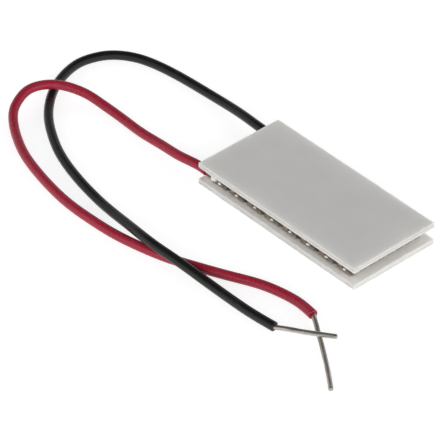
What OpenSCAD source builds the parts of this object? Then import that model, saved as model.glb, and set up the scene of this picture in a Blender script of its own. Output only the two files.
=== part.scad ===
// Thermoelectric cooling module: two ceramic plates with a chain of
// semiconductor legs between them, and a red and a black lead at one end.
// Origin: middle of the lower (hot) face. +X along the long side, +Z up.

/* [Plates] */
// Length of both plates, along the rows of legs
plate_l = 31.4; // [31:0.1:36]
// Width of both plates, across the rows
plate_w = 15; // [14.6:0.1:18]
// Thickness of one plate
plate_t = 0.8; // [0.6:0.05:1]
// Radius of the plates' upright corners
corner_r = 0.1; // [0.05:0.05:0.4]

/* [Legs] */
// Legs in one row, an even number
columns = 16; // [12:2:16]
// Rows of legs, an even number
rows = 8; // [4:2:8]
// Distance between legs along a row
pitch_x = 1.8; // [1.75:0.01:1.85]
// Distance between rows
pitch_y = 1.7; // [1.65:0.01:1.8]
// Side of a leg's square section
leg_w = 1; // [0.8:0.05:1.1]
// Height of a leg
leg_h = 1.3; // [1:0.05:1.6]

/* [Tabs and solder] */
// Thickness of a copper tab
tab_t = 0.3; // [0.2:0.05:0.4]
// How far a tab reaches past a leg on each side
tab_margin = 0.05; // [0.05:0.01:0.15]
// Thickness of the solder between a leg and a tab
solder_t = 0.05; // [0.03:0.01:0.1]
// How far the solder stays inside its tab's edges
solder_inset = 0.02; // [0.02:0.01:0.05]
// Radius of the solder joint that holds a lead's conductor
joint_r = 0.65; // [0.5:0.05:0.7]
// Height of that joint above its tab's solder
joint_h = 1; // [0.8:0.05:1.1]

/* [Leads] */
// Outside diameter of the insulation
lead_d = 1.4; // [1.2:0.1:1.4]
// Diameter of the tinned conductor
wire_d = 0.7; // [0.5:0.05:0.7]
// How far the insulation reaches in over the hot plate
lead_entry = 0.2; // [0.1:0.1:0.6]
// Height of a conductor above the solder on its tab
wire_lift = 0.05; // [0.05:0.05:0.2]
// How far a conductor reaches past the middle of its place on the tab
wire_reach = 0.9; // [0.6:0.1:1]
// How far out from that middle the solder joint stands
joint_shift = 0.25; // [0:0.05:0.3]
// How far out from its row of legs the red lead lies
red_offset = 0.15; // [0:0.05:0.2]
// How far out from its row of legs the black lead lies
black_offset = 0.15; // [0:0.05:0.2]

/* [Hidden] */
$fn = 48;
sides = 8;
gap = leg_h + 2 * solder_t + 2 * tab_t;
cold_z = plate_t + gap;
hot_leg_z = plate_t + tab_t + solder_t;
tab_w = leg_w + 2 * tab_margin;
row_numbers = [1:rows];

// Where each conductor lies on its tab
wire_z = hot_leg_z + wire_lift + wire_d / 2;
wire_start_x = lead_entry - plate_l / 2;
wire_end_x = leg_x(1) + wire_reach;
joint_x = leg_x(1) - joint_shift;
red_y = leg_y(1) - red_offset;
black_y = leg_y(rows) + black_offset;

// Middle line of the red lead's insulation, from the module outwards
red_route = [
    [wire_start_x, red_y, wire_z], [-17.0, red_y, wire_z], [-20.6, -6.5, 1.4], [-24.3, -6.4, 1.05],
    [-28.9, -6.4, 0.75], [-33.8, -6.2, 0.7], [-38.0, -6.3, 0.9], [-40.6, -6.7, 1.25],
    [-42.5, -7.6, 1.65], [-44.2, -9.1, 2.1], [-45.4, -10.9, 2.25], [-46.0, -13.0, 2.1],
    [-45.6, -15.0, 1.7], [-44.6, -16.8, 1.3], [-42.8, -18.4, 0.9], [-39.8, -20.2, 0.7],
    [-36.3, -21.8, 0.7], [-32.2, -23.0, 0.7], [-27.8, -23.9, 0.7], [-23.5, -24.4, 0.7],
    [-18.8, -24.4, 0.7], [-14.4, -24.1, 0.7], [-10.0, -23.3, 0.7], [-5.9, -22.2, 0.7],
    [-1.4, -20.4, 0.7], [3.2, -18.3, 0.7], [7.1, -16.5, 0.7], [10.5, -15.6, 0.7],
    [13.4, -15.3, 0.7], [16.4, -15.6, 0.7]];

// Middle line of the black lead's insulation, from the module outwards
black_route = [
    [wire_start_x, black_y, wire_z], [-17.0, black_y, wire_z], [-22.0, 6.5, 1.3], [-27.0, 6.8, 0.85],
    [-31.6, 6.7, 0.7], [-36.7, 6.3, 0.7], [-40.3, 5.7, 0.7], [-43.0, 4.8, 0.7],
    [-44.9, 3.6, 0.7], [-46.3, 2.1, 0.7], [-47.2, 0.2, 0.7], [-47.6, -1.9, 0.7],
    [-47.3, -4.2, 0.7], [-46.4, -6.7, 0.7], [-44.9, -9.3, 0.7], [-42.8, -11.8, 0.7],
    [-40.3, -14.0, 0.7], [-37.0, -16.1, 0.7], [-33.6, -17.8, 0.7], [-29.5, -19.2, 0.7],
    [-25.3, -20.2, 0.7], [-20.4, -21.0, 0.75], [-15.5, -21.8, 1.35], [-10.9, -22.6, 2.1],
    [-7.1, -22.9, 2.3], [-3.6, -22.5, 1.9], [0.8, -21.8, 1], [5.2, -21.6, 0.7],
    [10.4, -21.5, 0.7], [14.8, -21.1, 0.7]];

// Middle line of each stripped end, from the insulation to the tip
red_tip_route = [
    [16.4, -15.6, 0.7], [16.9, -15.9, 0.7], [18.2, -16.7, 0.6], [19.6, -17.6, 0.45],
    [21.2, -18.6, 0.4], [23.0, -19.8, 0.35], [25.9, -21.8, 0.35], [28.8, -24.0, 0.35]];
black_tip_route = [
    [14.8, -21.1, 0.7], [15.4, -20.9, 0.8], [16.6, -20.2, 0.9],
    [18.2, -19.4, 1.05], [20.2, -18.2, 1.2], [22.3, -16.7, 1.2]];

// Places in the grid of legs. Columns and rows count from 1 at the corner
// where the red lead enters.
function leg_x(column) = (column - (columns + 1) / 2) * pitch_x;
function leg_y(row) = (row - (rows + 1) / 2) * pitch_y;

// The first position of the first and the last row holds a lead, not a leg
function holds_lead(column, row) = column == 1 && (row == 1 || row == rows);

// Legs alternate like a chessboard, so each tab joins one n leg and one p leg
function is_n(column, row) = (column + row) % 2 == 1;

// The chain turns back at alternate ends, from each row to the next
function turn_column(row) = row % 2 == 1 ? columns : 1;

module plate() {
    linear_extrude(plate_t) {
        square([plate_l - 2 * corner_r, plate_w], center = true);
        square([plate_l, plate_w - 2 * corner_r], center = true);
        for (sx = [-1, 1], sy = [-1, 1])
            translate([sx * (plate_l / 2 - corner_r), sy * (plate_w / 2 - corner_r)])
                circle(corner_r);
    }
}

module hot_plate() {
    color("#d6d5d1") plate();
}

module cold_plate() {
    color("#d6d5d1") translate([0, 0, cold_z]) plate();
}

// A flat bar over the legs from one grid place to another, made smaller by inset
module bar(from, to, z, t, inset = 0) {
    x0 = leg_x(from[0]) - tab_w / 2 + inset;
    y0 = leg_y(from[1]) - tab_w / 2 + inset;
    x1 = leg_x(to[0]) + tab_w / 2 - inset;
    y1 = leg_y(to[1]) + tab_w / 2 - inset;
    translate([x0, y0, z]) cube([x1 - x0, y1 - y0, t]);
}

// Hot tabs join columns 1-2, 3-4, ... and cold tabs join 2-3, 4-5, ...
module hot_bars(row, z, t, inset = 0) {
    first = holds_lead(1, row) ? 3 : 1;
    for (c = [first:2:columns - 1]) bar([c, row], [c + 1, row], z, t, inset);
}

module cold_bars(row, z, t, inset = 0) {
    for (c = [2:2:columns - 2]) bar([c, row], [c + 1, row], z, t, inset);
}

module turn_bars(z, t, inset = 0) {
    for (r = [1:rows - 1])
        bar([turn_column(r), r], [turn_column(r), r + 1], z, t, inset);
}

module hot_tabs_row(row) {
    color("#b87a4b") hot_bars(row, plate_t, tab_t);
}

module cold_tabs_row(row) {
    color("#b87a4b") cold_bars(row, cold_z - tab_t, tab_t);
}

module cold_turn_tabs() {
    color("#b87a4b") turn_bars(cold_z - tab_t, tab_t);
}

module lead_tab(row) {
    color("#b87a4b") bar([1, row], [2, row], plate_t, tab_t);
}

module legs(row, n_type) {
    for (c = [1:columns])
        if (!holds_lead(c, row) && is_n(c, row) == n_type)
            translate([leg_x(c) - leg_w / 2, leg_y(row) - leg_w / 2, hot_leg_z])
                cube([leg_w, leg_w, leg_h]);
}

module n_legs_row(row) {
    color("#6d6a66") legs(row, true);
}

module p_legs_row(row) {
    color("#8f867a") legs(row, false);
}

module solder_row(row) {
    color("#d9d6cd") {
        hot_bars(row, plate_t + tab_t, solder_t, solder_inset);
        cold_bars(row, cold_z - tab_t - solder_t, solder_t, solder_inset);
        if (holds_lead(1, row))
            bar([1, row], [2, row], plate_t + tab_t, solder_t, solder_inset);
    }
}

module cold_turn_solder() {
    color("#d9d6cd") turn_bars(cold_z - tab_t - solder_t, solder_t, solder_inset);
}

module conductor_stub(y) {
    translate([wire_start_x, y, wire_z])
        rotate([0, 90, 0]) cylinder(d = wire_d, h = wire_end_x - wire_start_x);
}

// A rounded drop of solder over the end of the conductor, with a cylindrical
// foot below the wire and a domed top above it
module lead_joint(y) {
    foot_h = joint_h - joint_r;
    color("#e4e0d4") difference() {
        translate([joint_x, y, hot_leg_z]) rotate_extrude() {
            square([joint_r, foot_h]);
            translate([0, foot_h]) intersection() {
                circle(joint_r);
                square(joint_r);
            }
        }
        conductor_stub(y);
    }
}

module soldered_end(y) {
    color("#c9c9c6") conductor_stub(y);
}

// Direction of the route at point i
function heading(route, i) =
    let (a = route[max(i - 1, 0)], b = route[min(i + 1, len(route) - 1)])
    (b - a) / norm(b - a);

// The corners of the ring at point i, square to the direction ahead
function ring(route, i, r, ahead) =
    let (across = cross(ahead, [0, 0, 1]) / norm(cross(ahead, [0, 0, 1])))
    let (above = cross(across, ahead))
    [for (k = [0:sides - 1])
        route[i] + r * (cos(360 * k / sides) * across + sin(360 * k / sides) * above)];

// A round bar swept along a route, closed by a flat face at each end. Its first
// face is square to the direction start.
module swept(route, r, start) {
    last = len(route) - 1;
    points = [for (i = [0:last]) each ring(route, i, r, i == 0 ? start : heading(route, i))];
    first_cap = [for (k = [0:sides - 1]) k];
    last_cap = [for (k = [sides - 1:-1:0]) last * sides + k];
    wall = [for (i = [0:last - 1], k = [0:sides - 1])
        let (a = i * sides + k)
        let (b = i * sides + (k + 1) % sides)
        each [[a, a + sides, b], [b, a + sides, b + sides]]];
    polyhedron(points, concat([first_cap, last_cap], wall));
}

module red_lead() {
    color("#a51c33") swept(red_route, lead_d / 2, heading(red_route, 0));
}

module black_lead() {
    color("#26262a") swept(black_route, lead_d / 2, heading(black_route, 0));
}

// A stripped end starts flat against the end of its insulation
module bare_end(tip_route, route) {
    color("#c9c9c6") swept(tip_route, wire_d / 2, heading(route, len(route) - 1));
}

hot_plate();
cold_plate();
for (r = row_numbers) {
    hot_tabs_row(r);
    cold_tabs_row(r);
    n_legs_row(r);
    p_legs_row(r);
    solder_row(r);
}
cold_turn_tabs();
cold_turn_solder();
lead_tab(1);  // red_lead_tab
lead_tab(rows);  // black_lead_tab
lead_joint(red_y);  // red_lead_joint
lead_joint(black_y);  // black_lead_joint
soldered_end(red_y);  // red_soldered_end
soldered_end(black_y);  // black_soldered_end
red_lead();
black_lead();
bare_end(red_tip_route, red_route);  // red_bare_end
bare_end(black_tip_route, black_route);  // black_bare_end
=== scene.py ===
"""Looks of a thermoelectric cooling module: two ceramic plates on rows of semiconductor legs, copper
tabs, solder, and a red and a black lead with stripped ends. Lengths are in metres."""

import math

import bpy
import numpy as np
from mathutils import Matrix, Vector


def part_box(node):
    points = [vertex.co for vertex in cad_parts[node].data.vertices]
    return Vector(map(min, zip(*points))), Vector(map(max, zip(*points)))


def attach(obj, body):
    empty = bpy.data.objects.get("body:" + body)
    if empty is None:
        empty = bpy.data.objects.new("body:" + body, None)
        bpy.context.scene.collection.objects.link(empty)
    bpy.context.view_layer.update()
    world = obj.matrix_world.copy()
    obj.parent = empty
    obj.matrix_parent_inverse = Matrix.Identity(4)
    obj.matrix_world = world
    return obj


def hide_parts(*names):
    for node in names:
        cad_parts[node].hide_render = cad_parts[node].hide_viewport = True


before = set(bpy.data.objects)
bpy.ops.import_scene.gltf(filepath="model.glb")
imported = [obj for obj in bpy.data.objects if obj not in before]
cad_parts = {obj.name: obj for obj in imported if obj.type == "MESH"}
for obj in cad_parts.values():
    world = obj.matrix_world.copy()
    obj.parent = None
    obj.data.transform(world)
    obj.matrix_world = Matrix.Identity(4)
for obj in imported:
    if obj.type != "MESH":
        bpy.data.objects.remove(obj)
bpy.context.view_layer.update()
chance = np.random.default_rng(63)

MM = 0.001
TURN = 2 * math.pi

# ---------------------------------------------------------------- camera

LOOK_AT = np.array([-7.072, -10.835, 0.0]) * MM
CAMERA_DISTANCE = 527.07 * MM
CAMERA_AZIMUTH = math.radians(48.12)
CAMERA_ELEVATION = math.radians(38.53)
CAMERA_LENS = 311.66


def add_camera():
    """The camera stands back from the point it looks at, along the line of its azimuth and elevation."""
    camera = bpy.data.objects.new("camera", bpy.data.cameras.new("camera"))
    bpy.context.scene.collection.objects.link(camera)
    bpy.context.scene.camera = camera
    camera.data.sensor_width = 36
    camera.data.lens = CAMERA_LENS
    camera.data.clip_start = 0.01
    camera.data.clip_end = 20
    back = np.array([
        math.sin(CAMERA_AZIMUTH) * math.cos(CAMERA_ELEVATION),
        -math.cos(CAMERA_AZIMUTH) * math.cos(CAMERA_ELEVATION),
        math.sin(CAMERA_ELEVATION),
    ])
    camera.location = LOOK_AT + back * CAMERA_DISTANCE
    camera.rotation_euler = (math.pi / 2 - CAMERA_ELEVATION, 0, CAMERA_AZIMUTH)


# ---------------------------------------------------------------- material nodes

def new_material(name):
    """An empty material with a Principled surface. Returns the material, its node tree and the surface."""
    made = bpy.data.materials.new(name)
    made.use_nodes = True
    tree = made.node_tree
    return made, tree, tree.nodes["Principled BSDF"]


def add_node(tree, kind, links=None, values=None, **settings):
    """A new node with its settings, its values by socket and its links by socket."""
    node = tree.nodes.new(kind)
    for name, setting in settings.items():
        setattr(node, name, setting)
    for socket, value in (values or {}).items():
        node.inputs[socket].default_value = value
    for socket, source in (links or {}).items():
        tree.links.new(source, node.inputs[socket])
    return node


def maths(tree, operation, first, second=None, clamp=False):
    """One Math node. Each operand is a number or another node's output."""
    node = tree.nodes.new("ShaderNodeMath")
    node.operation = operation
    node.use_clamp = clamp
    for index, operand in enumerate([first] if second is None else [first, second]):
        if isinstance(operand, (int, float)):
            node.inputs[index].default_value = operand
        else:
            tree.links.new(operand, node.inputs[index])
    return node.outputs[0]


def noise(tree, place, scale, detail=3.0, roughness=0.5):
    """The grey value of a noise pattern on a place vector."""
    return add_node(
        tree, "ShaderNodeTexNoise", {"Vector": place},
        {"Scale": scale, "Detail": detail, "Roughness": roughness}).outputs["Fac"]


def spread(tree, value, low, high, to_low=0.0, to_high=1.0):
    """A value's range from low to high made into another range, and held inside it."""
    return add_node(
        tree, "ShaderNodeMapRange", {"Value": value},
        {"From Min": low, "From Max": high, "To Min": to_low, "To Max": to_high}).outputs["Result"]


def blend_colours(tree, share, first, second):
    """A mix of two colours, each a tuple or another node's output. The share is a node's output."""
    node = add_node(tree, "ShaderNodeMix", {"Factor": share}, data_type="RGBA")
    for socket, colour in ((node.inputs[6], first), (node.inputs[7], second)):
        if isinstance(colour, tuple):
            socket.default_value = (*colour, 1)
        else:
            tree.links.new(colour, socket)
    return node.outputs[2]


def object_place(tree):
    """The place on the object, in metres."""
    return tree.nodes.new("ShaderNodeTexCoord").outputs["Object"]


def add_bump(tree, surface, height, distance):
    """Bump of a given depth in metres on the surface."""
    bump = add_node(
        tree, "ShaderNodeBump", {"Height": height}, {"Distance": distance, "Strength": 1.0})
    tree.links.new(bump.outputs["Normal"], surface.inputs["Normal"])


def colour(hexes):
    """A colour as written on a screen, made linear."""
    parts = [int(hexes[i:i + 2], 16) / 255 for i in (0, 2, 4)]
    return tuple(p / 12.92 if p <= 0.04045 else ((p + 0.055) / 1.055) ** 2.4 for p in parts)


# ---------------------------------------------------------------- materials

# How far in from the plates' outline the painted light of the rim reaches.
PAINTED_GLOW_DEPTH = 1.1 * MM
LEAD_END_STEEPNESS = 1.5
FAR_END_STEEPNESS = 0.65
# How far in from the long sides and the far end the painted shade among the tabs begins.
PAINTED_SHADE_SIDE_INSET = 1.3 * MM
PAINTED_SHADE_END_INSET = 2.6 * MM


def ceramic(name, node, face, rim, side, under, painted_shade=None):
    """Fired alumina: off-white, faintly mottled, with a fine grain. The upper face's colour nears the rim's
    with the negative exponential of the distance to the outline: painted light, standing in for light
    that scatters in near the outline. The upright sides have another colour, which nears the lower face's
    further down: painted light and shade by height. Painted shade, when given, darkens the upper face among
    the tabs."""
    made, tree, surface = new_material(name)
    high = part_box(node)[1]
    place = object_place(tree)
    across = add_node(tree, "ShaderNodeSeparateXYZ", {"Vector": place}).outputs
    from_leads = maths(tree, "MULTIPLY", maths(tree, "ADD", across["X"], high.x), LEAD_END_STEEPNESS)
    from_end = maths(tree, "MULTIPLY", maths(tree, "SUBTRACT", high.x, across["X"]), FAR_END_STEEPNESS)
    from_side = maths(tree, "SUBTRACT", high.y, maths(tree, "ABSOLUTE", across["Y"]))
    nearest = maths(tree, "MINIMUM", maths(tree, "MINIMUM", from_leads, from_end), from_side)
    painted_glow = maths(tree, "EXPONENT", maths(tree, "MULTIPLY", nearest, -1 / PAINTED_GLOW_DEPTH), clamp=True)
    below = maths(tree, "SUBTRACT", high.z, across["Z"])
    mottle = spread(tree, noise(tree, place, 260.0, 4.0), 0.35, 0.65)
    grain = noise(tree, place, 7000.0, 2.0)
    # Painted light: the upper face's colour turns to the rim's near the outline.
    plain = blend_colours(tree, painted_glow, colour(face), colour(rim))
    if painted_shade:
        # Painted shade: the upper face turns dark brown inside the long sides and the far end, among the
        # tabs under the other plate.
        past_end = maths(tree, "SUBTRACT", maths(tree, "SUBTRACT", high.x, PAINTED_SHADE_END_INSET), across["X"])
        inside = maths(tree, "MINIMUM", maths(tree, "SUBTRACT", from_side, PAINTED_SHADE_SIDE_INSET), past_end)
        plain = blend_colours(tree, spread(tree, inside, 0.0, 0.06 * MM), plain, colour(painted_shade))
    # Painted light and shade: just below the top the sides turn to the side colour, and further down to the
    # lighter lower colour.
    plain = blend_colours(tree, spread(tree, below, 0.0, 0.12 * MM), plain, colour(side))
    plain = blend_colours(tree, spread(tree, below, 0.2 * MM, 0.79 * MM), plain, colour(under))
    mottled = blend_colours(tree, maths(tree, "MULTIPLY", mottle, 0.06), plain, colour("ffffff"))
    specked = blend_colours(tree, spread(tree, grain, 0.62, 0.75, 0.0, 0.06), mottled, colour("b9b5ac"))
    tree.links.new(specked, surface.inputs["Base Color"])
    tree.links.new(spread(tree, mottle, 0, 1, 0.46, 0.54), surface.inputs["Roughness"])
    surface.inputs["Specular IOR Level"].default_value = 0.15
    surface.inputs["Subsurface Weight"].default_value = 1.0
    surface.inputs["Subsurface Radius"].default_value = (1.0, 0.97, 0.93)
    surface.inputs["Subsurface Scale"].default_value = 1.0 * MM
    add_bump(tree, surface, grain, 0.004 * MM)
    return made


def copper():
    """Etched copper under a tin coat and old flux: tan-grey, patchy where the solder has wetted it."""
    made, tree, surface = new_material("tab_copper")
    place = object_place(tree)
    patch = spread(tree, noise(tree, place, 1900.0, 3.0), 0.38, 0.62)
    metal = blend_colours(tree, patch, colour("83766a"), colour("978b7e"))
    tree.links.new(metal, surface.inputs["Base Color"])
    surface.inputs["Metallic"].default_value = 0.4
    tree.links.new(spread(tree, patch, 0, 1, 0.56, 0.44), surface.inputs["Roughness"])
    add_bump(tree, surface, noise(tree, place, 5000.0, 2.0), 0.01 * MM)
    return made


def leg_alloy(name, dark, light):
    """Cut bismuth telluride: a dull grey metal with lines from the saw, and light specks in the colour that
    stand in for the sparkle of cleavage facets: painted glints, where the finish is also smoother.
    """
    made, tree, surface = new_material(name)
    place = object_place(tree)
    long_lines = add_node(
        tree, "ShaderNodeMapping", {"Vector": place}, {"Scale": (1.0, 1.0, 7.0)}).outputs["Vector"]
    lines = spread(tree, noise(tree, long_lines, 2600.0, 4.0, 0.6), 0.35, 0.65)
    cells = add_node(
        tree, "ShaderNodeTexVoronoi", {"Vector": place}, {"Scale": 6500.0}).outputs["Color"]
    cell = add_node(tree, "ShaderNodeSeparateColor", {"Color": cells}).outputs["Red"]
    metal = blend_colours(tree, lines, dark, light)
    # Painted glints: light specks in the colour where the Voronoi cells run high.
    flecked = blend_colours(tree, spread(tree, cell, 0.82, 1.0, 0.0, 0.5), metal, colour("c8c2ba"))
    tree.links.new(flecked, surface.inputs["Base Color"])
    surface.inputs["Metallic"].default_value = 0.4
    tree.links.new(spread(tree, cell, 0, 1, 0.62, 0.38), surface.inputs["Roughness"])
    add_bump(tree, surface, lines, 0.012 * MM)
    return made


def solder(name, dark, light, metallic, smooth, rough):
    """Frozen solder: a pale metal with soft dimples."""
    made, tree, surface = new_material(name)
    place = object_place(tree)
    dimples = noise(tree, place, 2400.0, 3.0)
    metal = blend_colours(tree, spread(tree, dimples, 0.4, 0.65), colour(dark), colour(light))
    tree.links.new(metal, surface.inputs["Base Color"])
    surface.inputs["Metallic"].default_value = metallic
    tree.links.new(spread(tree, dimples, 0.35, 0.7, smooth, rough), surface.inputs["Roughness"])
    add_bump(tree, surface, dimples, 0.02 * MM)
    return made


def insulation(name, body, worn, gloss):
    """Extruded PVC: one colour with faint lengthwise flow lines, a fine skin texture and dull scuffs."""
    made, tree, surface = new_material(name)
    lay = add_node(tree, "ShaderNodeAttribute", attribute_name="lay").outputs["Vector"]
    drawn = add_node(
        tree, "ShaderNodeMapping", {"Vector": lay}, {"Scale": (1.0, 1.0, 0.06)}).outputs["Vector"]
    lines = noise(tree, drawn, 2600.0, 3.0)
    skin = noise(tree, lay, 5200.0, 3.0, 0.6)
    scuffs = spread(tree, noise(tree, lay, 420.0, 4.0, 0.65), 0.52, 0.70)
    shade = blend_colours(tree, spread(tree, lines, 0.35, 0.65, 0.0, 0.5), body, worn)
    scuffed = blend_colours(tree, maths(tree, "MULTIPLY", scuffs, 0.35), shade, worn)
    tree.links.new(scuffed, surface.inputs["Base Color"])
    tree.links.new(
        spread(tree, maths(tree, "ADD", skin, scuffs), 0.3, 1.5, gloss, gloss + 0.2),
        surface.inputs["Roughness"])
    surface.inputs["Specular IOR Level"].default_value = 0.38
    height = maths(tree, "ADD", maths(tree, "MULTIPLY", lines, 0.5), maths(tree, "MULTIPLY", skin, 0.5))
    add_bump(tree, surface, height, 0.03 * MM)
    return made


def tinned_wire():
    """Tinned copper strands drawn together by solder: silvery, streaked along the wire."""
    made, tree, surface = new_material("tinned_copper")
    lay = add_node(tree, "ShaderNodeAttribute", attribute_name="lay").outputs["Vector"]
    drawn = add_node(
        tree, "ShaderNodeMapping", {"Vector": lay}, {"Scale": (1.0, 1.0, 0.12)}).outputs["Vector"]
    streaks = noise(tree, drawn, 5200.0, 3.0, 0.6)
    metal = blend_colours(tree, spread(tree, streaks, 0.38, 0.62), colour("a39e97"), colour("cdc8c0"))
    tree.links.new(metal, surface.inputs["Base Color"])
    surface.inputs["Metallic"].default_value = 1.0
    tree.links.new(spread(tree, streaks, 0.3, 0.7, 0.50, 0.36), surface.inputs["Roughness"])
    add_bump(tree, surface, streaks, 0.02 * MM)
    return made


# Painted light and shade in the plate colours: the hot plate's face is lifted to near white inward from a
# darker rim, offsetting the shade under the cold plate; the cold plate's rim is lighter than its face; both
# plates' side and lower colours are painted light and shade, and the hot plate's last colour is painted
# shade among the tabs.
HOT_CERAMIC = ceramic("hot_side_alumina", "hot_plate", "fffaf3", "e9e7e3", "dad8d4", "eae8e5", "85796c")
COLD_CERAMIC = ceramic("cold_side_alumina", "cold_plate", "d2d1cf", "dddcd9", "c5c2bd", "eeece8")
COPPER = copper()
N_ALLOY = leg_alloy("n_type_alloy", colour("474541"), colour("66635e"))
P_ALLOY = leg_alloy("p_type_alloy", colour("716656"), colour("938675"))
# Near-white solder with little metal, so that its diffuse colour makes the beads a painted glint.
PAINTED_GLINT_SOLDER = solder("painted_glint_solder", "f8f4ea", "fffcf5", 0.4, 0.16, 0.30)
# Solder painted grey-brown, as painted shade of the gap between the plates, with a rough finish.
PAINTED_SHADE_SOLDER = solder("painted_shade_solder", "857a6c", "a0968a", 0.5, 0.45, 0.60)
LEAD_SOLDER = solder("lead_solder", "efe8d8", "f8f4ea", 0.45, 0.26, 0.40)
RED_PVC = insulation("red_pvc", colour("9a1c32"), colour("a52a41"), 0.24)
BLACK_PVC = insulation("black_pvc", colour("151514"), colour("1f1f1e"), 0.24)
WIRE = tinned_wire()

# ---------------------------------------------------------------- making pieces

def add_piece(name, points, faces, material, replaced=(), lay=None, smooth=True):
    """A mesh object from an array of points and lists of corner numbers. It rides on the part's one
    body, takes its finish from a slot and stands for the replaced nodes."""
    mesh = bpy.data.meshes.new(name)
    mesh.from_pydata(points.reshape(-1, 3), [], faces)
    mesh.materials.append(material)
    mesh.polygons.foreach_set("use_smooth", np.full(len(mesh.polygons), smooth))
    if lay is not None:
        attribute = mesh.attributes.new("lay", "FLOAT_VECTOR", "POINT")
        attribute.data.foreach_set("vector", lay.ravel())
    piece = bpy.data.objects.new(name, mesh)
    bpy.context.scene.collection.objects.link(piece)
    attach(piece, "root")
    if replaced:
        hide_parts(*replaced)
    return piece


def ring_faces(rings, sides, closed=False):
    """The faces of a stack of rings. Face corners go from a point to its neighbour in the ring, then to
    the same two on the next ring. An open stack is capped by its first and last ring."""
    step = np.arange(rings if closed else rings - 1)[:, None]
    here = np.arange(sides)[None, :]
    beside = (here + 1) % sides
    above = (step + 1) % rings
    walls = np.stack(
        [step * sides + here, step * sides + beside, above * sides + beside, above * sides + here], -1)
    faces = walls.reshape(-1, 4).tolist()
    if not closed:
        faces.append(np.arange(sides)[::-1].tolist())
        faces.append((np.arange(sides) + (rings - 1) * sides).tolist())
    return faces


def repeated_faces(faces, copies, size):
    """The same faces for each copy of a shape that has size points."""
    return [[corner + copy * size for corner in face] for copy in range(copies) for face in faces]


# ---------------------------------------------------------------- leads

LEAD_RADIUS = 0.7 * MM
WIRE_RADIUS = 0.35 * MM
SLEEVE_SIDES = 40
SLEEVE_STEP = 0.25 * MM
SLEEVE_PLAIN_FROM = 0.3 * MM
SLEEVE_END_DISTANCES = np.array([0.5, 0.03, 0.0, 0.0, 0.03, 0.09]) * MM
SLEEVE_END_RADII = np.array([0.36, 0.36, 0.39, 0.64, 0.685, 0.7]) * MM
WIRE_SIDES = 42
WIRE_STEP = 0.15 * MM
WIRE_TIP = 0.25 * MM
WIRE_IN_SLEEVE = np.array([0.6, 0.3]) * MM
STRANDS = 7
STRAND_TWIST = 0.3 / MM
STRAND_SWELL = 0.05
PATH_POINTS = 240
RED_ROUTE = np.array([
    [-15.5, -6.1, 1.55], [-17.0, -6.1, 1.55], [-20.6, -6.5, 1.4], [-24.3, -6.4, 1.05],
    [-28.9, -6.4, 0.75], [-33.8, -6.2, 0.7], [-38.0, -6.3, 0.9], [-40.6, -6.7, 1.25],
    [-42.5, -7.6, 1.65], [-44.2, -9.1, 2.1], [-45.4, -10.9, 2.25], [-46.0, -13.0, 2.1],
    [-45.6, -15.0, 1.7], [-44.6, -16.8, 1.3], [-42.8, -18.4, 0.9], [-39.8, -20.2, 0.7],
    [-36.3, -21.8, 0.7], [-32.2, -23.0, 0.7], [-27.8, -23.9, 0.7], [-23.5, -24.4, 0.7],
    [-18.8, -24.4, 0.7], [-14.4, -24.1, 0.7], [-10.0, -23.3, 0.7], [-5.9, -22.2, 0.7],
    [-1.4, -20.4, 0.7], [3.2, -18.3, 0.7], [7.1, -16.5, 0.7], [10.5, -15.6, 0.7],
    [13.4, -15.3, 0.7], [16.4, -15.6, 0.7]]) * MM
BLACK_ROUTE = np.array([
    [-15.5, 6.1, 1.55], [-17.0, 6.1, 1.55], [-22.0, 6.5, 1.3], [-27.0, 6.8, 0.85],
    [-31.6, 6.7, 0.7], [-36.7, 6.3, 0.7], [-40.3, 5.7, 0.7], [-43.0, 4.8, 0.7],
    [-44.9, 3.6, 0.7], [-46.3, 2.1, 0.7], [-47.2, 0.2, 0.7], [-47.6, -1.9, 0.7],
    [-47.3, -4.2, 0.7], [-46.4, -6.7, 0.7], [-44.9, -9.3, 0.7], [-42.8, -11.8, 0.7],
    [-40.3, -14.0, 0.7], [-37.0, -16.1, 0.7], [-33.6, -17.8, 0.7], [-29.5, -19.2, 0.7],
    [-25.3, -20.2, 0.7], [-20.4, -21.0, 0.75], [-15.5, -21.8, 1.35], [-10.9, -22.6, 2.1],
    [-7.1, -22.9, 2.3], [-3.6, -22.5, 1.9], [0.8, -21.8, 1.0], [5.2, -21.6, 0.7],
    [10.4, -21.5, 0.7], [14.8, -21.1, 0.7]]) * MM
RED_TIP_ROUTE = np.array([
    [16.4, -15.6, 0.7], [16.9, -15.9, 0.7], [18.2, -16.7, 0.6], [19.6, -17.6, 0.45],
    [21.2, -18.6, 0.4], [23.0, -19.8, 0.35], [25.9, -21.8, 0.35], [28.8, -24.0, 0.35]]) * MM
BLACK_TIP_ROUTE = np.array([
    [14.8, -21.1, 0.7], [15.4, -20.9, 0.8], [16.6, -20.2, 0.9],
    [18.2, -19.4, 1.05], [20.2, -18.2, 1.2], [22.3, -16.7, 1.2]]) * MM


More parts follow.
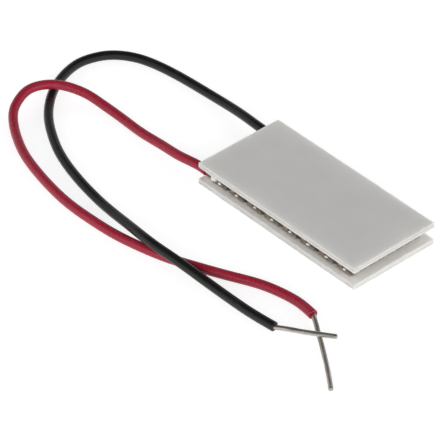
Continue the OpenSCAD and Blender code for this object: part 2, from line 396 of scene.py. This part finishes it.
class Line:
    """A smooth line through a route's points: a natural cubic spline over the running distance between
    the points. Its second derivatives come from the usual three-term equations, solved all at once."""

    def __init__(self, route, floor):
        gaps = np.linalg.norm(np.diff(route, axis=0), axis=1)
        self.knots = np.concatenate([[0], np.cumsum(gaps)])
        self.route = route
        self.floor = floor
        inner = np.diag(2 * (gaps[:-1] + gaps[1:])) + np.diag(gaps[1:-1], 1) + np.diag(gaps[1:-1], -1)
        slopes = np.diff(route, axis=0) / gaps[:, None]
        self.curving = np.zeros_like(route)
        self.curving[1:-1] = np.linalg.solve(inner, 6 * np.diff(slopes, axis=0))
        self.length = self.knots[-1]

    def points(self, distance):
        """The points at running distances, held at the line's ends and never below the floor height."""
        held = np.clip(distance, 0, self.length)
        i = np.clip(np.searchsorted(self.knots, held) - 1, 0, len(self.knots) - 2)
        gap = self.knots[i + 1] - self.knots[i]
        ahead = ((held - self.knots[i]) / gap)[:, None]
        behind = 1 - ahead
        bend = (behind ** 3 - behind) * self.curving[i] + (ahead ** 3 - ahead) * self.curving[i + 1]
        here = behind * self.route[i] + ahead * self.route[i + 1] + bend * gap[:, None] ** 2 / 6
        here[:, 2] = np.maximum(here[:, 2], self.floor)
        return here

    def frames(self, distance):
        """Points, and the two directions square to the line at each: level to the left, and up."""
        reach = 0.05 * MM
        heading = self.points(np.minimum(distance, self.length - reach) + reach)
        heading = heading - self.points(np.maximum(np.minimum(distance, self.length - reach) - reach, 0))
        heading = heading / np.linalg.norm(heading, axis=1)[:, None]
        left = np.cross([0, 0, 1], heading)
        left = left / np.linalg.norm(left, axis=1)[:, None]
        return self.points(distance), left, np.cross(heading, left)


def swept(line, distances, radii, sides, twist=0.0, lobes=0.0):
    """Rings along a line: point = centre + reach (cos angle . left + sin angle . up). The reach is the
    radius times (1 + lobes |cos (strands / 2 (angle + twist . distance))|) / (1 + lobes), so with lobes
    it swells once for each strand, and the swelling turns like laid strands. Also returns the surface's
    own coordinates: two across the round and the distance along it."""
    centre, left, up = line.frames(distances)
    angle = np.arange(sides) * TURN / sides
    swell = 1 + lobes * np.abs(np.cos(STRANDS / 2 * (angle[None, :] + twist * distances[:, None])))
    reach = radii[:, None] * swell / (1 + lobes)
    around = np.cos(angle)[None, :, None] * left[:, None] + np.sin(angle)[None, :, None] * up[:, None]
    points = centre[:, None] + reach[..., None] * around
    lay = np.stack([
        reach * np.cos(angle), reach * np.sin(angle), np.broadcast_to(distances[:, None], reach.shape)], -1)
    return points, lay


def insulation_sleeve(name, route, material, replaced):
    """A sleeve cut square at both ends: the profile starts in the bore, crosses the cut face, rounds its
    rim, runs along the line and ends the same way."""
    line = Line(route, LEAD_RADIUS)
    into = SLEEVE_END_DISTANCES
    out = SLEEVE_END_RADII
    last = line.length - SLEEVE_PLAIN_FROM
    body = np.linspace(SLEEVE_PLAIN_FROM, last, int(line.length / SLEEVE_STEP))
    distances = np.concatenate([into, body, line.length - into[::-1]])
    radii = np.concatenate([out, np.full(len(body), LEAD_RADIUS), out[::-1]])
    points, lay = swept(line, distances, radii, SLEEVE_SIDES)
    sleeve = add_piece(
        name, points, ring_faces(*points.shape[:2]), material, replaced, lay)
    return sleeve, line


def stripped_end(name, tip_route, sleeve_line, replaced):
    """The bare wire from inside the sleeve to its tip. Over the tip's length the radius is the wire's
    times sqrt (1 - s^2), where s is the share of that length, and never quite nothing."""
    inside = sleeve_line.points(sleeve_line.length - WIRE_IN_SLEEVE)
    line = Line(np.concatenate([inside, tip_route]), WIRE_RADIUS)
    body = np.linspace(0, line.length - WIRE_TIP, int(line.length / WIRE_STEP))
    share = np.sin(np.linspace(0, 1, 7)[1:] * math.pi / 2)
    tip = line.length - WIRE_TIP + WIRE_TIP * share
    radii = np.concatenate([np.full(len(body), 1.0), np.sqrt(np.maximum(1 - share ** 2, 0.002))])
    distances = np.concatenate([body, tip])
    points, lay = swept(line, distances, WIRE_RADIUS * radii, WIRE_SIDES, STRAND_TWIST, STRAND_SWELL)
    return add_piece(
        name, points, ring_faces(*points.shape[:2]), WIRE, replaced, lay)


def soldered_end(name, node):
    """The straight wire inside the gap, from inside the sleeve to its end on the tab."""
    low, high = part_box(node)
    middle = (low + high) / 2
    start = low.x - WIRE_IN_SLEEVE[-1]
    line = Line(np.array([[x, middle.y, middle.z] for x in (start, middle.x, high.x)]), 0.0)
    distances = np.linspace(0, line.length, 24)
    radii = np.full(len(distances), WIRE_RADIUS)
    points, lay = swept(line, distances, radii, WIRE_SIDES, STRAND_TWIST, STRAND_SWELL)
    return add_piece(name, points, ring_faces(*points.shape[:2]), WIRE, (node,), lay)


def lead(colour_name, route, tip_route, material):
    """One lead: its sleeve, its stripped end and its soldered end."""
    sleeve, line = insulation_sleeve(
        colour_name + "_sleeve", route, material, (colour_name + "_lead",))
    tip = stripped_end(colour_name + "_stripped_wire", tip_route, line, (colour_name + "_bare_end",))
    inner = soldered_end(colour_name + "_wire_in_gap", colour_name + "_soldered_end")
    along = line.points(np.linspace(0, line.length, PATH_POINTS))


# ---------------------------------------------------------------- plates, tabs and legs

PLATE_CORNER = 0.1 * MM
PLATE_EDGE = 0.06 * MM
FLAT_RING_INSET = 0.01 * MM
BLOCK_EDGE = 0.03 * MM
SAME_POINT = 0.001 * MM
FILLET_REACH = 0.045 * MM
FILLET_CORNER = 0.12 * MM
FILLET_INTO_LEG = 0.05 * MM
FILLET_INTO_LAYER = 0.01 * MM
BEAD_SIZE = np.array([0.34, 0.21, 0.25]) * MM
BEAD_INTO_TAB = 0.02 * MM
BEAD_SIDES = 16
DROP_SIDES = 36


def outlines(half_x, half_y, corner, insets, per_corner):
    """Rectangles with rounded corners, one for each inset: each corner is an arc about the same centre,
    whose radius is the corner's less the inset. Shape: insets, points, two."""
    arc = np.linspace(0, math.pi / 2, per_corner)
    angle = np.concatenate([arc + quarter * math.pi / 2 for quarter in range(4)])
    side_x = np.repeat([1, -1, -1, 1], per_corner)
    side_y = np.repeat([1, 1, -1, -1], per_corner)
    reach = corner - np.asarray(insets)[:, None]
    x = side_x * (half_x - corner) + reach * np.cos(angle)
    y = side_y * (half_y - corner) + reach * np.sin(angle)
    return np.stack([x, y], -1)


def stacked(half_x, half_y, corner, profile, per_corner):
    """Rings of rounded rectangles for a profile of insets and heights, as one array of points."""
    profile = np.asarray(profile)
    flat = outlines(half_x, half_y, corner, profile[:, 0], per_corner)
    height = np.broadcast_to(profile[:, 1][:, None, None], (*flat.shape[:2], 1))
    return np.concatenate([flat, height], -1)


def add_plate(node, material):
    """A ceramic plate whose edges are rounded by a quarter circle: inset = r (1 - cos t) and height
    = r (1 - sin t) at the foot, mirrored at the top, with a ring close inside each flat face."""
    low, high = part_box(node)
    turn = np.linspace(0, math.pi / 2, 5)
    wide = PLATE_EDGE * (1 - np.sin(turn))
    tall = PLATE_EDGE * (1 - np.cos(turn))
    foot = np.stack([wide, low.z + tall], -1)
    head = np.stack([tall, high.z - wide], -1)
    inner = PLATE_CORNER - FLAT_RING_INSET
    profile = np.concatenate([[[inner, low.z]], foot, head, [[inner, high.z]]])
    points = stacked(high.x, high.y, PLATE_CORNER, profile, 7)
    add_piece(node + "_ceramic", points, ring_faces(*points.shape[:2]), material, (node,))


def solids_of(node):
    """Lowest and highest corners of each separate solid of a CAD node, found by joining the points that
    share a triangle."""
    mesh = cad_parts[node].data
    points = np.zeros(len(mesh.vertices) * 3)
    mesh.vertices.foreach_get("co", points)
    points = points.reshape(-1, 3)
    mesh.calc_loop_triangles()
    corners = np.zeros(len(mesh.loop_triangles) * 3, int)
    mesh.loop_triangles.foreach_get("vertices", corners)
    corners = corners.reshape(-1, 3)
    snapped = np.round(points / SAME_POINT).astype(int)
    same = np.unique(snapped, axis=0, return_inverse=True)[1].ravel()
    corners = same[corners]
    group = np.arange(same.max() + 1)
    settled = False
    while not settled:
        least = group[corners].min(1)
        joined = group.copy()
        for column in range(3):
            np.minimum.at(joined, corners[:, column], least)
        settled = np.array_equal(joined, group)
        group = joined
    found = group[same]
    return [(points[found == g].min(0), points[found == g].max(0)) for g in np.unique(found)]


def add_blocks(node, material):
    """The node's boxes with chamfered edges, each a stack of four eight-cornered rings."""
    edge = BLOCK_EDGE
    boxes = solids_of(node)
    parts = []
    for low, high in boxes:
        middle = (low + high) / 2
        half = (high - low) / 2
        profile = [(edge, low[2]), (0, low[2] + edge), (0, high[2] - edge), (edge, high[2])]
        points = stacked(half[0], half[1], 1.5 * edge, profile, 2)
        parts.append(points + [middle[0], middle[1], 0])
    points = np.array(parts)
    faces = repeated_faces(ring_faces(4, 8), len(boxes), 32)
    add_piece(node + "_blocks", points, faces, material, (node,), smooth=False)
    return boxes


def add_fillets(name, boxes):
    """Solder drawn up round the foot of each leg, and down round its head: a hollow quarter circle,
    inset = -r (1 - sin t) and height = r (1 - cos t), closed inside the leg."""
    turn = np.linspace(0, math.pi / 2, 4)
    out = np.concatenate([-FILLET_REACH * (1 - np.sin(turn)), [FILLET_INTO_LEG, FILLET_INTO_LEG]])
    up = np.concatenate([FILLET_REACH * (1 - np.cos(turn)), [FILLET_REACH, -FILLET_INTO_LAYER]])
    profile = np.stack([out, up], -1)
    parts = []
    for low, high in boxes:
        middle = (low + high) / 2
        half = (high - low) / 2
        points = stacked(half[0], half[1], FILLET_CORNER, profile, 3) + [middle[0], middle[1], low[2]]
        turned = points[::-1].copy()
        turned[..., 2] = high[2] - (turned[..., 2] - low[2])
        parts.append(points)
        parts.append(turned)
    points = np.array(parts)
    faces = repeated_faces(ring_faces(len(out), 12, closed=True), len(parts), len(out) * 12)
    add_piece(name, points, faces, PAINTED_SHADE_SOLDER)


def add_beads(name, tabs):
    """A bead of solder at the middle of each tab's edge: half an ellipsoid, whose width across is that
    of its foot times cos t at a height of tall sin t. Each differs a little in size and place."""
    turn = np.linspace(0, math.pi / 2, 5)[:-1]
    parts = []
    for low, high in tabs:
        middle = (low + high) / 2
        half_x, half_y, tall = BEAD_SIZE * chance.uniform(0.85, 1.15, 3)
        heights = high[2] - BEAD_INTO_TAB + tall * np.sin(turn)
        angle = np.arange(BEAD_SIDES) * TURN / BEAD_SIDES
        x = half_x * np.cos(turn)[:, None] * np.cos(angle) + middle[0] + chance.normal(0, 0.03) * MM
        y = half_y * np.cos(turn)[:, None] * np.sin(angle) + low[1] + chance.uniform(0.15, 0.20) * MM
        z = np.broadcast_to(heights[:, None], x.shape)
        parts.append(np.stack([x, y, z], -1))
    points = np.array(parts)
    faces = repeated_faces(ring_faces(len(turn), BEAD_SIDES), len(parts), len(turn) * BEAD_SIDES)
    # The beads are painted glints in near-white solder.
    add_piece(name, points, faces, PAINTED_GLINT_SOLDER)


def add_drop(name, node):
    """The drop of solder over the soldered wire: a round dome with a flared foot. Its reach at a share s
    of its height and an angle a is radius (0.96 sqrt (1 - s^2.6) + 0.04 exp (-s / 0.1)), times
    1 + 0.03 cos 2a + 0.02 sin (3a + 2s)."""
    low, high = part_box(node)
    middle = (low + high) / 2
    radius = (high.y - low.y) / 2
    tall = high.z - low.z
    share = np.sin(np.linspace(0, 1, 16) * math.pi / 2)[:, None]
    angle = np.arange(DROP_SIDES) * TURN / DROP_SIDES
    dome = np.sqrt(np.maximum(1 - share ** 2.6, 0.0004))
    foot = 0.04 * np.exp(-share / 0.10)
    swell = 1 + 0.03 * np.cos(2 * angle) + 0.02 * np.sin(3 * angle + share * 2)
    reach = radius * (0.96 * dome + foot) * swell
    x = middle.x + reach * np.cos(angle)
    y = middle.y + reach * np.sin(angle)
    z = np.broadcast_to(low.z + tall * share, x.shape)
    points = np.stack([x, y, z], -1)
    add_piece(name, points, ring_faces(len(share), DROP_SIDES), LEAD_SOLDER, (node,))


def dress(node, material):
    """A CAD node that stays, with a better material."""
    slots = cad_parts[node].data.materials
    slots.clear()
    slots.append(material)


# ---------------------------------------------------------------- stage and light

FLOOR_REACH = 3.0
FLOOR_HEIGHT = -0.02 * MM
FLOOR_GLOW = 0.80
LIGHT_AZIMUTH = math.radians(57)
LIGHT_BEHIND = 1.2
LIGHT_IN_FRONT = 2.7
MIRRORED_SHARE = 0.45


def add_floor():
    """A wide pale floor. The camera, mirror and glass rays see it nearly white, and it keeps the part's
    shadow. Other rays see a plain pale floor."""
    made = bpy.data.materials.new("pale_floor")
    made.use_nodes = True
    tree = made.node_tree
    tree.nodes.clear()
    path = tree.nodes.new("ShaderNodeLightPath").outputs
    seen = maths(tree, "MAXIMUM", path["Is Camera Ray"], path["Is Glossy Ray"])
    seen = maths(tree, "MAXIMUM", seen, path["Is Transmission Ray"])
    plain = add_node(tree, "ShaderNodeBsdfDiffuse", values={"Color": (0.86, 0.86, 0.86, 1)})
    dull = add_node(tree, "ShaderNodeBsdfDiffuse", values={"Color": (0.40, 0.40, 0.40, 1)})
    white = add_node(tree, "ShaderNodeEmission", values={"Color": (1, 1, 1, 1), "Strength": FLOOR_GLOW})
    both = add_node(tree, "ShaderNodeAddShader")
    tree.links.new(dull.outputs[0], both.inputs[0])
    tree.links.new(white.outputs[0], both.inputs[1])
    pick = add_node(tree, "ShaderNodeMixShader", {"Fac": seen})
    tree.links.new(plain.outputs[0], pick.inputs[1])
    tree.links.new(both.outputs[0], pick.inputs[2])
    out = tree.nodes.new("ShaderNodeOutputMaterial")
    tree.links.new(pick.outputs[0], out.inputs["Surface"])
    mesh = bpy.data.meshes.new("floor")
    ends = ((-1, -1), (1, -1), (1, 1), (-1, 1))
    corners = [(x * FLOOR_REACH, y * FLOOR_REACH, FLOOR_HEIGHT) for x, y in ends]
    mesh.from_pydata(corners, [], [(0, 1, 2, 3)])
    mesh.materials.append(made)
    floor = bpy.data.objects.new("floor", mesh)
    bpy.context.scene.collection.objects.link(floor)


def add_surroundings():
    """A plain studio round the part: bright near the horizon, more so on the camera's side, and dark
    overhead. Mirrored rays see it dimmer, so glossy pieces keep their depth. The camera sees white."""
    world = bpy.data.worlds.new("studio")
    bpy.context.scene.world = world
    world.use_nodes = True
    tree = world.node_tree
    tree.nodes.clear()
    way = tree.nodes.new("ShaderNodeTexCoord").outputs["Generated"]
    height = add_node(tree, "ShaderNodeSeparateXYZ", {"Vector": way}).outputs["Z"]
    ahead = (math.sin(LIGHT_AZIMUTH), -math.cos(LIGHT_AZIMUTH), 0)
    facing = add_node(
        tree, "ShaderNodeVectorMath", {0: way}, {1: ahead}, operation="DOT_PRODUCT").outputs["Value"]
    horizon = spread(tree, facing, -1.0, 1.0, LIGHT_BEHIND, LIGHT_IN_FRONT)
    level = maths(tree, "MULTIPLY", horizon, spread(tree, height, 0.46, 0.66, 1.0, 0.05))
    path = tree.nodes.new("ShaderNodeLightPath").outputs
    mirrored = maths(tree, "MULTIPLY", level, spread(tree, path["Is Glossy Ray"], 0, 1, 1.0, MIRRORED_SHARE))
    around = add_node(tree, "ShaderNodeBackground", {"Strength": mirrored}, {"Color": (1, 1, 1, 1)})
    white = add_node(tree, "ShaderNodeBackground", values={"Color": (1, 1, 1, 1), "Strength": 1.0})
    pick = add_node(tree, "ShaderNodeMixShader", {"Fac": path["Is Camera Ray"]})
    tree.links.new(around.outputs[0], pick.inputs[1])
    tree.links.new(white.outputs[0], pick.inputs[2])
    out = tree.nodes.new("ShaderNodeOutputWorld")
    tree.links.new(pick.outputs[0], out.inputs["Surface"])


# ---------------------------------------------------------------- the scene

add_camera()
lead("red", RED_ROUTE, RED_TIP_ROUTE, RED_PVC)
lead("black", BLACK_ROUTE, BLACK_TIP_ROUTE, BLACK_PVC)

add_plate("hot_plate", HOT_CERAMIC)
add_plate("cold_plate", COLD_CERAMIC)
for row in range(1, 9):
    n_legs = add_blocks(f"n_legs_row_{row}", N_ALLOY)
    p_legs = add_blocks(f"p_legs_row_{row}", P_ALLOY)
    add_fillets(f"solder_fillets_row_{row}", n_legs + p_legs)
    hot_tabs = add_blocks(f"hot_tabs_row_{row}", COPPER)
    add_blocks(f"cold_tabs_row_{row}", COPPER)
    add_beads(f"solder_beads_row_{row}", hot_tabs)
    dress(f"solder_row_{row}", PAINTED_SHADE_SOLDER)
add_blocks("cold_turn_tabs", COPPER)
for lead_tab in ("red_lead_tab", "black_lead_tab"):
    add_beads(lead_tab + "_solder_bead", add_blocks(lead_tab, COPPER))
dress("cold_turn_solder", PAINTED_SHADE_SOLDER)
add_drop("red_solder_drop", "red_lead_joint")
add_drop("black_solder_drop", "black_lead_joint")

add_floor()
add_surroundings()
bpy.context.scene.view_settings.view_transform = "Standard"
